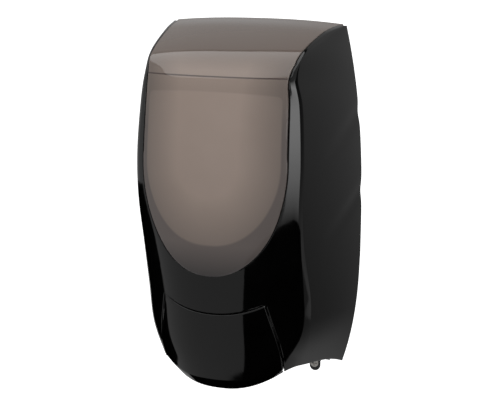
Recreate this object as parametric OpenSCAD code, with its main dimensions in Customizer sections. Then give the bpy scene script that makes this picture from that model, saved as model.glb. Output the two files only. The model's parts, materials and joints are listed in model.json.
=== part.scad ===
// Wall mounted push soap dispenser: a back plate with a bottle refill and its pump,
// behind a hinged cover that carries a smoked window and a sprung push lever.
// Millimetres, +Z up. The wall is the plane Y = 0 and the dispenser stands in front of
// it, at -Y. The origin is the centre of the wall screw pattern.

/* [Mouldings] */
// Wall thickness of the cover, the window and the lever
skin_t = 2.6; // [2:0.1:3.2]
// Joint between the cover and its window
window_gap = 0.3; // [0.2:0.05:0.6]
// Joint around the push lever
lever_gap = 0.7; // [0.5:0.05:1]
// How full the front is between its creases
front_fullness = 2.4; // [2:0.1:3.5]
// Depth of the soft grooves in the sides
groove_depth = 0.9; // [0:0.1:1.5]

/* [Wall fixing] */
// Distance between the screw holes across
fixing_x = 84; // [60:1:90]
// Distance between the screw holes up and down
fixing_z = 150; // [120:1:180]
// Diameter of the wall screw holes
fixing_d = 5.2; // [4.2:0.1:6.2]
// Thickness of the back plate
plate_t = 3; // [2.5:0.1:4]

/* [Refill] */
// Width of the bottle
bottle_w = 104; // [90:1:106]
// Depth of the bottle
bottle_depth = 76; // [60:1:78]
// Height of the bottle above its shoulder
bottle_top = 98; // [70:1:100]
// Wall thickness of the bottle
bottle_t = 1.2; // [0.8:0.1:2]

/* [Pump] */
// Bore of the pump barrel
barrel_bore = 20; // [16:0.5:22]
// Diameter of the hollow stem
stem_d = 11.6; // [9:0.1:12]
// Radial running gap of the stem in the barrel
stem_play = 0.1; // [0.05:0.05:0.3]

/* [Latch] */
// Width of the sliding bar
latch_w = 16; // [12:1:20]
// Thickness of the sliding bar
latch_t = 2.5; // [2:0.1:3]
// Running gap around the sliding bar
latch_play = 0.4; // [0.3:0.05:0.6]

/* [Hidden] */
$fn = 48;

// Cover shape: stations run from the back of the top, over the bend and down the front.
// Front crease of the right half: half width, depth, height at each station.
crease = [
    [66.7, -3.8, 125], [60.6, -37, 121], [55.6, -75, 109.5], [54.7, -88, 96],
    [58.4, -88, 76], [60.6, -91, 40], [60.1, -91.6, 8], [59.4, -85, -28],
    [60, -76.5, -62], [57.8, -74.5, -92], [49.6, -72.5, -117.5],
];
// Middle line of the front at the same stations.
middle = [
    [0, -3.8, 128], [0, -42, 124.5], [0, -86, 111.5], [0, -101, 97],
    [0, -107, 76], [0, -111.5, 40], [0, -112, 8], [0, -110.5, -28],
    [0, -107, -67.5], [0, -102, -101], [0, -95, -130],
];
// Heights of the back edge at the same stations.
back_heights = [125, 119, 106, 90, 70, 38, 6, -29, -65, -101, -137];
back_y = -3.8;
last_station = 9.87;
first_station = 0.12;

// Outline of the window on the front.
window_top_share = 0.972;
window_side_share = 0.872;
window_leaves_crease = 2.45;
window_straight_end = 5;
window_foot = 7.32;

// Outline of the push lever on the front.
lever_share = 0.635;
lever_foot_share = 0.925;
lever_corner = 7.86;
lever_brow = 8.03;
lip_station = 9.72;
lip_depth = 3.2;

// Cover hinge and lever pivot, both along X.
hinge_y = -22;
hinge_z = -121.5;
hinge_x = 53.9;
hinge_pin_d = 3;
clip_t = 2;
clip_y = hinge_y - 3;
lower_screw_z = -127;
upper_screw_z = -116.5;
rod_d = 4;
pivot_y = -82;
pivot_z = -70;
boss_x = 40.2;

// Back face of the bottle.
bottle_back = -12;

// Pump, on a vertical axis.
pump_y = -42;
wing_z = -71.6;
nose_r = 3;
nose_z = wing_z - nose_r - 0.4;
shelf_z = -57.3;
shelf_t = 3;
barrel_foot = -57;
barrel_top = -22;
piston_z = -54.6;

// Latch pegs on the cover.
peg_y = -9;
peg_z = 90;
peg_d = 4;

shade_gloss = [0.05, 0.05, 0.055];
shade_black = [0.1, 0.1, 0.1];
shade_smoke = [0.45, 0.4, 0.37, 0.6];
shade_steel = [0.72, 0.72, 0.74];
shade_milk = [0.9, 0.89, 0.85];
shade_grey = [0.55, 0.56, 0.57];
shade_rubber = [0.18, 0.18, 0.18];

// ---- Cover surface ----

function blend(a, b, t) = a * (1 - t) + b * t;
function unit(v) = v / norm(v);
function ramp(a, b, x) = let(t = max(0, min(1, (x - a) / (b - a)))) t * t * (3 - 2 * t);

// A smooth curve through the points, at station u.
function spline(points, u) =
    let(
        last = len(points) - 2,
        i = max(0, min(floor(u), last)),
        f = u - i,
        a = points[i],
        b = points[i + 1],
        da = i > 0 ? (b - points[i - 1]) / 2 : b - a,
        db = i < last ? (points[i + 2] - a) / 2 : b - a
    )
    a * (2 * pow(f, 3) - 3 * pow(f, 2) + 1) + da * (pow(f, 3) - 2 * pow(f, 2) + f)
    + b * (3 * pow(f, 2) - 2 * pow(f, 3)) + db * (pow(f, 3) - pow(f, 2));

// Half width where the cover meets the wall, at height z: widest a little below half way.
function half_at_wall(z) =
    81.5 - 14.8 * pow(max(0, z + 30) / 156, 2.6) - 13 * pow(max(0, -30 - z) / 105, 2.7);

function back_edge(u) =
    let(z = spline(back_heights, u)) [half_at_wall(z), back_y, z];

function front_point(s, u) =
    let(e = spline(crease, u), m = spline(middle, u), k = 1 - pow(s, front_fullness))
    [s * e[0], blend(e[1], m[1], k), blend(e[2], m[2], k)];

// Two soft grooves swoop down from the back edge and fade out towards the front.
function groove(r, z) =
    groove_depth * ramp(0.25, 0.9, r)
    * (exp(-pow((z - 62 + 34 * (1 - r)) / 6, 2)) + exp(-pow((z - 4 + 38 * (1 - r)) / 7, 2)));

// The side, from the crease (r = 0) to the back edge (r = 1), arched along its foot.
function side_point(r, u) =
    let(
        e = spline(crease, u),
        b = back_edge(u),
        p = blend(e, b, r),
        swell = 0.09 * norm(b - e) * r * (1 - r),
        arch = 3 * ramp(8, 10, u) * sin(180 * pow(r, 1.4))
    )
    p + [swell - groove(r, p[2]), 0, arch];

// How far the rounding of the crease reaches each way: tight above, soft at the foot.
function rounding(u) = 3.5 + 5.5 * ramp(6, 9, u);

// The outer surface: w is 0 in the middle, 1 at the crease, 2 at the back edge.
function right_skin(w, u) =
    let(
        run = norm(back_edge(u) - spline(crease, u)),
        reach = min(rounding(u), 0.4 * run),
        a = reach / 62,
        b = reach / run,
        t = (w - 1 + a) / (a + b)
    )
    w <= 1 - a ? front_point(w, u)
    : w >= 1 + b ? side_point(w - 1, u)
    : pow(1 - t, 2) * front_point(1 - a, u) + 2 * t * (1 - t) * spline(crease, u)
        + pow(t, 2) * side_point(b, u);
function skin(w, u) =
    let(p = right_skin(abs(w), u)) w < 0 ? [-p[0], p[1], p[2]] : p;

// Direction into the dispenser, square to the surface.
function inward(w, u) =
    let(v = max(u, 0.15), dw = 0.004, du = 0.02)
    unit(cross(skin(w + dw, v) - skin(w - dw, v), skin(w, v + du) - skin(w, v - du)));
function skin_at(w, u, depth) = skin(w, u) + depth * inward(w, u);

// Stands its children on the surface at (w, u): their +Z points into the dispenser.
module on_skin(w, u) {
    n = inward(w, u);
    x = unit(cross([0, 0, 1], n));
    y = cross(n, x);
    p = skin(w, u);
    multmatrix([
        [x[0], y[0], n[0], p[0]],
        [x[1], y[1], n[1], p[1]],
        [x[2], y[2], n[2], p[2]],
        [0, 0, 0, 1],
    ]) children();
}

// Edge of the window at angle phi round its foot, grown outwards by a few millimetres.
function window_foot_edge(phi, grow = 0) =
    [
        (window_side_share + grow / 60) * pow(cos(phi), 2 / 2.2),
        window_straight_end
            + (window_foot - window_straight_end + grow / 36) * pow(sin(phi), 2 / 2.5),
    ];
// Its share of the half width above the curved foot.
function window_share(u) =
    u < window_leaves_crease ? window_top_share
    : blend(
        window_side_share, window_top_share,
        pow((window_straight_end - u) / (window_straight_end - window_leaves_crease), 1.7));

// Side edge and top edge of the lever opening.
function lever_edge_share(u) =
    blend(lever_share, lever_foot_share, (u - lever_corner) / (10 - lever_corner));
function lever_top(s) = blend(lever_brow, lever_corner, pow(s / lever_share, 2));

// The sides of the lever opening are cut straight back, so that the lever can swing in:
// the inner surface is drawn outwards there, most of all at the opening's edge.
function relieved(q) =
    let(
        w = abs(q[0]),
        edge = lever_edge_share(q[1]),
        most = 0.028 + 0.005 * pow(max(0, q[1] - lever_corner), 2),
        share = min(ramp(edge - 0.12, edge, w), max(0, (1.12 - w) / (1.12 - edge)))
    )
    [sign(q[0]) * (w + most * share * ramp(7.6, lever_corner, q[1])), q[1]];

// ---- Sheets: grids of [w, u] thickened between two depths ----

function quad(a, b, c, d) = [[a, b, c], [a, c, d]];
function flat(lists) = [for (l = lists) for (x = l) x];

module sheet(grid, depth0, depth1) {
    rows = len(grid);
    cols = len(grid[0]);
    size = rows * cols;
    outer = [for (row = grid) for (q = row) skin_at(q[0], q[1], depth0(q))];
    inner = [for (row = grid) for (q = row) skin_at(q[0], q[1], depth1(q))];
    surface = flat([
        for (i = [0 : rows - 2]) for (j = [0 : cols - 2])
            let(k = i * cols + j)
            concat(
                quad(k, k + 1, k + cols + 1, k + cols),
                quad(size + k, size + k + cols, size + k + cols + 1, size + k + 1))
    ]);
    sides = flat([
        for (i = [0 : rows - 2])
            let(l = i * cols, r = l + cols - 1)
            concat(
                quad(l, l + cols, size + l + cols, size + l),
                quad(r, size + r, size + r + cols, r + cols))
    ]);
    ends = flat([
        for (j = [0 : cols - 2])
            let(t = j, b = (rows - 1) * cols + j)
            concat(
                quad(t, size + t, size + t + 1, t + 1),
                quad(b, b + 1, size + b + 1, size + b))
    ]);
    polyhedron(concat(outer, inner), concat(surface, sides, ends), convexity = 8);
}

// Rows of the cover shell's right half: where the row starts on the front, the station
// it reaches on the crease, and whether it starts on the middle line.
shell_rows = concat(
    [for (i = [0 : 7])
        let(u = blend(first_station, window_leaves_crease, i / 7))
        [[window_share(u) + window_gap / 60, u], u, false]],
    [for (i = [1 : 6])
        let(u = blend(window_leaves_crease, window_straight_end, i / 6))
        [[window_share(u) + window_gap / 60, u], u, false]],
    [for (i = [1 : 13])
        let(phi = 90 * i / 14)
        [window_foot_edge(phi, window_gap), blend(window_straight_end, 7.25, i / 14), false]],
    [for (i = [0 : 3])
        [[0, blend(window_foot + window_gap / 36, lever_brow, i / 3)], blend(7.25, 7.45, i / 3),
            true]],
    [for (i = [1 : 6])
        let(s = lever_share * i / 6)
        [[s, lever_top(s)], blend(7.45, 7.7, i / 6), false]],
    [for (i = [1 : 9])
        let(u = blend(lever_corner, last_station, i / 9))
        [[lever_edge_share(u), u], blend(7.7, last_station, i / 9), false]]
);

// One row of the right half, from its start on the front to the back edge.
function shell_row(row) =
    let(start = row[0], u = row[1], near = max(start[0] + 0.01, 1 - rounding(u) / 62))
    concat(
        [for (i = [0 : 3]) blend(start, [near, u], i / 4)],
        [for (i = [0 : 4]) [blend(near, 1.12, i / 4), u]],
        [for (i = [1 : 7]) [blend(1.12, 2, i / 7), u]]
    );

// The cover shell is open for the window above and the lever below: both halves meet
// along the middle line between the two.
module shell_mesh() {
    right = [for (row = shell_rows) shell_row(row)];
    rows = len(right);
    half = len(right[0]);
    cols = 2 * half;
    size = rows * cols;
    grid = [
        for (row = right)
            concat([for (i = [half - 1 : -1 : 0]) [-row[i][0], row[i][1]]], row)
    ];
    outer = [for (row = grid) for (q = row) skin_at(q[0], q[1], 0)];
    inner = [
        for (row = grid) for (q = row) let(r = relieved(q)) skin_at(r[0], r[1], skin_t)
    ];
    // Both halves use the left half's points on the middle line.
    function at(i, j) = i * cols + (j == half && shell_rows[i][2] ? j - 1 : j);
    spans = [for (j = [0 : cols - 2]) if (j != half - 1) j];
    surface = flat([
        for (i = [0 : rows - 2]) for (j = spans)
            let(a = at(i, j), b = at(i, j + 1), c = at(i + 1, j + 1), d = at(i + 1, j))
            concat(quad(a, b, c, d), quad(size + a, size + d, size + c, size + b))
    ]);
    edges = flat([
        for (i = [0 : rows - 2])
            let(l = at(i, 0), r = at(i, cols - 1), dl = at(i + 1, 0), dr = at(i + 1, cols - 1))
            concat(
                quad(l, dl, size + dl, size + l),
                quad(r, size + r, size + dr, dr))
    ]);
    opening = flat([
        for (i = [0 : rows - 2]) if (!(shell_rows[i][2] && shell_rows[i + 1][2]))
            let(l = at(i, half - 1), r = at(i, half), dl = at(i + 1, half - 1), dr = at(i + 1, half))
            concat(
                quad(l, size + l, size + dl, dl),
                quad(r, dr, size + dr, size + r))
    ]);
    ends = flat([
        for (j = spans)
            let(t = at(0, j), tn = at(0, j + 1), b = at(rows - 1, j), bn = at(rows - 1, j + 1))
            concat(
                quad(t, size + t, size + tn, tn),
                quad(b, bn, size + bn, size + b))
    ]);
    polyhedron(
        concat(outer, inner), concat(surface, edges, opening, ends), convexity = 12);
}

// ---- Small shapes ----

module rounded_rect(w, h, r) {
    square([w, h - 2 * r], center = true);
    square([w - 2 * r, h], center = true);
    for (x = [-1, 1], y = [-1, 1]) {
        translate([x * (w / 2 - r), y * (h / 2 - r)]) circle(r);
    }
}

// A flat outline in X and Z, standing from y towards the front by t.
module upright(y, t) {
    translate([0, y, 0]) rotate([90, 0, 0]) linear_extrude(t) children();
}

// A flat outline in Y and Z, standing from x towards +X by t.
module crosswise(x, t) {
    translate([x, 0, 0]) rotate([90, 0, 90]) linear_extrude(t) children();
}

module both_sides() {
    children();
    mirror([1, 0, 0]) children();
}

module rod_x(x, length, y, z, d) {
    translate([x, y, z]) rotate([0, 90, 0]) cylinder(h = length, d = d);
}

// A pan head screw, tip at -length and the underside of its head at 0.
module pan_screw(d, length, head_d, head_h) {
    translate([0, 0, -length]) cylinder(h = length + 0.01, d = d);
    difference() {
        cylinder(h = head_h, d = head_d);
        for (turn = [0, 90]) {
            rotate([0, 0, turn]) translate([-head_d / 3, -0.4, head_h - 0.9])
                cube([head_d / 1.5, 0.8, 1]);
        }
    }
}

// A coil of round wire standing on Z = 0.
module coil(radius, wire, height, turns) {
    around = 6;
    steps = ceil(turns * 16);
    rise = (height - wire) / steps;
    points = [
        for (i = [0 : steps]) for (k = [0 : around - 1])
            let(a = 360 * turns * i / steps, b = 360 * k / around, r = radius + wire / 2 * cos(b))
            [r * cos(a), r * sin(a), wire / 2 + rise * i + wire / 2 * sin(b)]
    ];
    wall = flat([
        for (i = [0 : steps - 1]) for (k = [0 : around - 1])
            let(n = (k + 1) % around, a = i * around, b = a + around)
            quad(a + k, a + n, b + n, b + k)
    ]);
    caps = [
        [for (k = [around - 1 : -1 : 0]) k],
        [for (k = [0 : around - 1]) steps * around + k],
    ];
    polyhedron(points, concat(wall, caps), convexity = 8);
}

// ---- Chassis ----

module fixing_places() {
    for (x = [-1, 1], z = [-1, 1]) {
        translate([x * fixing_x / 2, 0, z * fixing_z / 2]) children();
    }
}

module shelf_screw_places() {
    for (x = [-22, 22], z = [-68, -88]) {
        translate([x, -plate_t - 3, z]) rotate([90, 0, 0]) children();
    }
}

module back_plate() {
    color(shade_black) difference() {
        union() {
            upright(0, plate_t) {
                translate([0, 8]) rounded_rect(120, 208, 10);
                translate([0, -100]) rounded_rect(116, 60, 6);
            }
            // Stiffening rims up both sides and across the top.
            both_sides() translate([57, -14, -86]) cube([3, 12, 160]);
            translate([-46, -12, 109]) cube([92, 10, 3]);
            // Ribs and the pads round the wall screws.
            for (z = [-30, 20, 62]) {
                both_sides() translate([12, -plate_t - 2.5, z]) cube([46, 3, 1.6]);
            }
            both_sides() translate([26, -plate_t - 2.5, -50]) cube([1.6, 3, 140]);
            fixing_places() rotate([90, 0, 0]) cylinder(h = plate_t + 2, d = 15);
            // Stop that the latch spring pushes against.
            translate([-2.8, -9, -13]) cube([5.6, 7, 4]);
        }
        fixing_places() rotate([90, 0, 0]) translate([0, 0, -1])
            cylinder(h = plate_t + 4, d = fixing_d);
        fixing_places() rotate([90, 0, 0]) translate([0, 0, plate_t])
            cylinder(h = 3, d = 10.4);
        shelf_screw_places() translate([0, 0, -5.3]) cylinder(h = 4, d = 3.02);
    }
}

module refill_shelf() {
    color(shade_black) difference() {
        union() {
            translate([-30, -plate_t - 3, -94]) cube([60, 3, 38]);
            translate([-46, -70, shelf_z]) cube([92, 67, shelf_t]);
            // Low walls that keep the cap in place, and gussets below.
            both_sides() translate([24.5, -66, shelf_z]) cube([2.5, 50, 8]);
            both_sides() crosswise(26.5, 2.5)
                polygon([[-4, -92], [-4, shelf_z + 1], [-60, shelf_z + 1], [-60, shelf_z - 2]]);
        }
        translate([0, pump_y, shelf_z - 1]) cylinder(h = shelf_t + 2, d = 27);
        translate([-13.5, -72, shelf_z - 1]) cube([27, 72 + pump_y, shelf_t + 2]);
        // Channel for the latch bar.
        translate([-latch_w / 2 - 1, -plate_t - latch_t - 1.4, -100])
            cube([latch_w + 2, latch_t + 2, 60]);
        shelf_screw_places() translate([0, 0, -4]) cylinder(h = 6, d = 3.4);
    }
}

module shelf_screws() {
    color(shade_steel) shelf_screw_places() pan_screw(3, 5, 6.4, 2.2);
}

module hinge_screw_places() {
    for (z = [lower_screw_z, upper_screw_z]) {
        translate([hinge_x, clip_y - clip_t, z]) rotate([90, 0, 0]) children();
    }
}

module hinge_brackets() {
    color(shade_black) both_sides() difference() {
        union() {
            translate([hinge_x - 4, clip_y, hinge_z - 3.8]) cube([8, -plate_t - clip_y, 14]);
            translate([hinge_x, clip_y + 12, lower_screw_z]) rotate([90, 0, 0])
                cylinder(h = 12, d = 5.6);
        }
        rod_x(hinge_x - 5, 10, hinge_y, hinge_z, hinge_pin_d);
        hinge_screw_places() translate([0, 0, -12]) cylinder(h = 13, d = 2.5);
    }
}

// Plates with a round foot, screwed to the front of the brackets to keep the pins in.
module hinge_clips() {
    color(shade_black) both_sides() difference() {
        translate([hinge_x, 0, 0]) upright(clip_y, clip_t) {
            translate([-4, -129.4]) square([8, 17]);
            translate([0, -129.4]) circle(4);
        }
        hinge_screw_places() translate([0, 0, -4]) cylinder(h = 5, d = 3.2);
    }
}

module hinge_screws() {
    color(shade_steel) both_sides() hinge_screw_places() pan_screw(2.46, 11, 6.2, 1.4);
}

module hinge_pins() {
    color(shade_steel) both_sides()
        rod_x(hinge_x - 4.2, 14.7, hinge_y, hinge_z, hinge_pin_d);
}

module latch_guides() {
    outer = latch_w / 2 + 5;
    inner = latch_w / 2 + latch_play;
    color(shade_black) for (z = [-44, 34]) {
        difference() {
            translate([-outer, -plate_t - latch_t - 2.3, z]) cube([2 * outer, latch_t + 2.3, 8]);
            translate([-inner, -plate_t - latch_t - 0.8, z - 1])
                cube([2 * inner, latch_t + 1, 10]);
        }
    }
}

module latch_spring() {
    color(shade_steel) translate([0, -6.4, -30]) coil(2, 0.7, 16.9, 6);
}

// ---- Refill ----

module bottle_section(inset) {
    rounded_rect(bottle_w - 2 * inset, bottle_depth - 2 * inset, 20 - inset);
}

// The bottle's bulk, drawn in by the inset: chamfered top, sloping shoulder.
module bottle_bulk(inset) {
    centre_y = bottle_back - bottle_depth / 2;
    translate([0, centre_y, -24]) linear_extrude(bottle_top + 24 - 8) bottle_section(inset);
    hull() {
        translate([0, centre_y, bottle_top - 8.01]) linear_extrude(0.01) bottle_section(inset);
        translate([0, centre_y, bottle_top - 0.01 - inset]) linear_extrude(0.01)
            bottle_section(inset + 6);
    }
    hull() {
        translate([0, centre_y, -24]) linear_extrude(0.01) bottle_section(inset);
        translate([0, pump_y, -38 + inset]) cylinder(h = 0.01, d = 46 - 2 * inset);
    }
}

module refill_bottle() {
    color(shade_milk) difference() {
        union() {
            bottle_bulk(0);
            translate([0, pump_y, -50]) cylinder(h = 14, d = 36);
        }
        bottle_bulk(bottle_t);
        translate([0, pump_y, -51]) cylinder(h = 20, d = 30);
    }
}

module refill_cap() {
    color(shade_grey) translate([0, pump_y, 0]) difference() {
        translate([0, 0, -54]) cylinder(h = 13.5, d = 45);
        translate([0, 0, -51.7]) cylinder(h = 12, d = 36.6);
        translate([0, 0, -55]) cylinder(h = 5, d = 26.6);
        for (turn = [0 : 15 : 345]) {
            rotate([0, 0, turn]) translate([23.2, 0, -52]) cylinder(h = 12, r = 1.4);
        }
    }
}

module pump_barrel() {
    color(shade_milk) translate([0, pump_y, 0]) difference() {
        union() {
            translate([0, 0, barrel_foot]) cylinder(h = barrel_top - barrel_foot, d = 26);
            translate([0, 0, -51.6]) cylinder(h = 1.55, d = 36);
        }
        translate([0, 0, barrel_foot + 2]) cylinder(
            h = barrel_top - barrel_foot - 4, d = barrel_bore);
        translate([0, 0, barrel_foot - 1]) cylinder(h = 4, d = stem_d + 2 * stem_play);
        translate([0, 0, barrel_top - 3]) cylinder(h = 4, d = 3);
        for (turn = [0 : 60 : 300]) {
            rotate([0, 0, turn]) translate([5, 0, barrel_top - 3]) cylinder(h = 4, d = 3);
        }
    }
}

module inlet_valve() {
    color(shade_rubber) translate([0, pump_y, barrel_top]) {
        translate([0, 0, -3.1]) cylinder(h = 1, d = 14);
        translate([0, 0, -2.2]) cylinder(h = 3, d = 2.9);
        translate([0, 0, 0.2]) cylinder(h = 1.6, d1 = 4.4, d2 = 2);
    }
}

module pump_spring() {
    color(shade_steel) translate([0, pump_y, -47.8]) coil(7.4, 1.2, 22.4, 5);
}

// ---- Cover ----

// Where the window frame is screwed on, as [w, u].
window_bosses = [
    for (phi = [0, 34, 68]) for (side = [-1, 1])
        let(q = window_foot_edge(phi, 4)) [side * q[0], q[1]]
];

module rod_boss() {
    crosswise(boss_x, 4) {
        translate([pivot_y, pivot_z]) circle(5);
        translate([-91, pivot_z - 5]) square([91 + pivot_y, 10]);
    }
}

module cover_shell() {
    color(shade_gloss) difference() {
        union() {
            shell_mesh();
            for (q = window_bosses) {
                on_skin(q[0], q[1]) translate([0, 0, 1.4]) cylinder(h = 3.8, d = 6);
            }
            both_sides() {
                rod_boss();
                // Hinge knuckle and the web that ties it to the side.
                rod_x(hinge_x + 4.3, 6.4, hinge_y, hinge_z, 7.6);
                upright(hinge_y + 3, 6) polygon([
                    [hinge_x + 4.3, -124], [64.4, -124], [70.4, -104], [hinge_x + 4.3, -112],
                ]);
                // Socket of the latch peg.
                rod_x(65, 6.2, peg_y, peg_z, 9);
                // Shelf behind the rubber stop of the lever.
                translate([43, -56, -107]) cube([17.6, 3, 9]);
            }
        }
        for (q = window_bosses) {
            on_skin(q[0], q[1]) translate([0, 0, 1.9]) cylinder(h = 6, d = 2.5);
        }
        both_sides() {
            rod_x(boss_x - 1, 6, pivot_y, pivot_z, rod_d);
            rod_x(hinge_x + 3, 7.7, hinge_y, hinge_z, hinge_pin_d + 0.1);
            rod_x(60, 12.2, peg_y, peg_z, peg_d);
        }
    }
}

module cover_window() {
    gap = window_gap / 60;
    top = [for (i = [0 : 5]) window_leaves_crease * i / 5];
    side = [for (i = [1 : 5]) blend(window_leaves_crease, window_straight_end, i / 5)];
    foot = [for (phi = [10 : 8 : 82]) window_foot_edge(phi)];
    tip = window_foot_edge(87.5);
    edge = concat(
        [for (u = concat(top, side)) [window_share(u) - (u < 5 ? gap : 0), u]], foot, [tip]);
    across = [-1, -0.93, -0.8, -0.6, -0.4, -0.2, 0, 0.2, 0.4, 0.6, 0.8, 0.93, 1];
    color(shade_smoke) sheet(
        [for (e = edge) [for (x = across) [x * e[0], e[1]]]],
        function(q) 0, function(q) skin_t);
}

// Ring behind the joint between cover and window.
module frame_ring() {
    sides = [for (u = [3.2 : 0.45 : 4.9]) u];
    inner = concat(
        [for (u = sides) [window_share(u) - 0.033, u]],
        [for (phi = [0 : 7.5 : 90]) window_foot_edge(phi, -2)]);
    outer = concat(
        [for (u = sides) [min(window_share(u) + 0.1, 0.97), u]],
        [for (phi = [0 : 7.5 : 90]) window_foot_edge(phi, 6)]);
    n = len(inner) - 1;
    right = [for (i = [0 : n]) [for (t = [0, 0.5, 1]) blend(inner[i], outer[i], t)]];
    left = [for (i = [n - 1 : -1 : 0]) [for (q = right[i]) [-q[0], q[1]]]];
    sheet(concat(right, left), function(q) skin_t + 0.3, function(q) skin_t + 2.1);
}

module window_frame() {
    color(shade_black) difference() {
        frame_ring();
        for (q = window_bosses) {
            on_skin(q[0], q[1]) translate([0, 0, 1]) cylinder(h = 6, d = 6.6);
        }
    }
}

module window_screws() {
    color(shade_steel) for (q = window_bosses) {
        on_skin(q[0], q[1]) translate([0, 0, 5.2]) pan_screw(2.46, 3, 8.4, 1.8);
    }
}

module latch_pegs() {
    color(shade_steel) both_sides() rod_x(60.4, 11.7, peg_y, peg_z, peg_d);
}

module lever_rod() {
    color(shade_steel) rod_x(-boss_x - 3.8, 2 * boss_x + 7.6, pivot_y, pivot_z, rod_d);
}

module lever_spring() {
    color(shade_steel) {
        translate([-8, pivot_y, pivot_z]) rotate([0, 90, 0]) coil(3.4, 1, 16, 9);
        // Leg that bears on the back of the cover.
        translate([-7.5, pivot_y, pivot_z + 3.4]) rotate([70, 0, 0]) cylinder(h = 17, d = 1);
    }
}

module lever_stops() {
    color(shade_rubber) both_sides() translate([43.5, -60, -106]) cube([5, 3.9, 7]);
}

// ---- Push lever ----

// Below the lip station the face turns under.
function tuck(u) = lip_depth * pow(max(0, u - lip_station) / (10 - lip_station), 1.2);

// Thin walls that run straight back from the sides of the lever and close the joint.
module lever_returns() {
    stations = [for (i = [0 : 9]) blend(8.45, 9.85, i / 9)];
    points = [
        for (u = stations)
            let(
                w = lever_edge_share(u) - lever_gap / 60 - 0.003,
                p = skin_at(w, u, tuck(u) + 0.7),
                back = min(p[1] + 7, -71)
            )
            each [[p[0], p[1], p[2]], [p[0], back, p[2]], [p[0] - 1.6, back, p[2]],
                [p[0] - 1.6, p[1], p[2]]]
    ];
    last = 4 * (len(stations) - 1);
    walls = flat([
        for (i = [0 : len(stations) - 2]) for (k = [0 : 3])
            let(a = 4 * i + k, b = 4 * i + (k + 1) % 4)
            quad(a, b, b + 4, a + 4)
    ]);
    caps = [[3, 2, 1, 0], [last, last + 1, last + 2, last + 3]];
    both_sides() polyhedron(points, concat(walls, caps), convexity = 4);
}

lever_bosses = [for (side = [-1, 1]) for (u = [8.55, 9.25]) [side * 0.38, u]];

module push_lever() {
    gap = lever_gap / 60;
    down = [0, 0.12, 0.25, 0.38, 0.5, 0.62, 0.74, 0.84, 0.9, 0.95, 1];
    across = [-1, -0.9, -0.75, -0.6, -0.45, -0.3, -0.15, 0, 0.15, 0.3, 0.45, 0.6, 0.75, 0.9, 1];
    grid = [
        for (v = down) [
            for (x = across)
                let(
                    u = blend(lever_top(abs(x) * lever_share) + lever_gap / 36, 10.04, v),
                    flare = 0.02 * ramp(9.88, 9.95, u)
                )
                [x * (lever_edge_share(u) - gap + flare), u]
        ]
    ];
    color(shade_gloss) difference() {
        union() {
            sheet(grid, function(q) tuck(q[1]), function(q) tuck(q[1]) + skin_t);
            lever_returns();
            for (q = lever_bosses) {
                on_skin(q[0], q[1]) translate([0, 0, 1.4]) cylinder(h = 6, d = 7);
            }
        }
        for (q = lever_bosses) {
            on_skin(q[0], q[1]) translate([0, 0, 2.2]) cylinder(h = 8, d = 2.5);
        }
    }
}

module lever_yoke() {
    color(shade_black) difference() {
        union() {
            both_sides() {
                // Side plate: from behind the lever, past the pivot, to the nose that
                // lifts the pump.
                crosswise(11, 4) {
                    polygon([
                        [-100.5, -76], [-94.6, -104], [-90, -106], [-86, -82], [-62, -80],
                        [pump_y, nose_z - nose_r], [pump_y, nose_z + nose_r], [-62, -72],
                        [-78, -64.6], [-88, -64.6],
                    ]);
                    translate([pump_y, nose_z]) circle(nose_r);
                }
                rod_x(14, boss_x - 14.4, pivot_y, pivot_z, 9);
            }
            for (q = lever_bosses) {
                on_skin(q[0], q[1]) translate([0, 0, 7.4]) cylinder(h = 2.2, d = 11);
            }
            // Tie between the side plates.
            translate([-12, -94, -103]) cube([24, 3, 9]);
        }
        rod_x(-boss_x, 2 * boss_x, pivot_y, pivot_z, rod_d + 0.12);
        for (q = lever_bosses) {
            on_skin(q[0], q[1]) translate([0, 0, 6]) cylinder(h = 5, d = 3);
        }
    }
}

module yoke_screws() {
    color(shade_steel) for (q = lever_bosses) {
        on_skin(q[0], q[1]) translate([0, 0, 9.6]) pan_screw(2.46, 7, 5.4, 1.8);
    }
}

// ---- Latch ----

module latch_bar() {
    front = -plate_t - latch_play;
    color(shade_grey) difference() {
        union() {
            upright(front, latch_t) {
                translate([-latch_w / 2, -124]) square([latch_w, 220]);
                translate([-64, 93]) square([128, 7]);
            }
            // Fingers that hang in front of the pegs, led in by a slope.
            both_sides() crosswise(60, 4) polygon([
                [front, 92.7], [front, 100], [-14, 100], [-16, 94], [-11.5, 88.9], [-11.5, 92.7],
            ]);
            translate([-latch_w / 2, -16, -124]) cube([latch_w, 16 + front, 2.4]);
        }
        translate([-3.4, front - latch_t - 1, -30.2]) cube([6.8, latch_t + 2, 27]);
    }
}

module latch_button() {
    color(shade_rubber) translate([0, -10.4, -128.2]) linear_extrude(4.2)
        rounded_rect(24, 12, 3);
}

// ---- Moving part of the pump ----

module pump_wings() {
    color(shade_grey) difference() {
        union() {
            translate([-18, pump_y - 8, wing_z]) cube([36, 16, 3]);
            translate([0, pump_y, wing_z - 6.4]) cylinder(h = 8, d = 18);
        }
        translate([0, pump_y, wing_z - 8]) cylinder(h = 14, d = stem_d);
    }
}

module pump_stem() {
    color(shade_milk) translate([0, pump_y, 0]) difference() {
        union() {
            translate([0, 0, -90]) cylinder(h = 90 + piston_z + 0.5, d = stem_d);
            translate([0, 0, piston_z]) cylinder(h = 6.6, d = barrel_bore - 1);
        }
        translate([0, 0, -91]) cylinder(h = 50, d = 5);
        translate([0, 0, piston_z + 2]) difference() {
            cylinder(h = 2.6, d = barrel_bore + 2);
            translate([0, 0, -1]) cylinder(h = 5, d = barrel_bore - 4);
        }
    }
}

module piston_seal() {
    color(shade_rubber) translate([0, pump_y, piston_z + 2.05]) difference() {
        cylinder(h = 2.5, d = barrel_bore - 0.06);
        translate([0, 0, -1]) cylinder(h = 5, d = barrel_bore - 4);
    }
}

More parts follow.
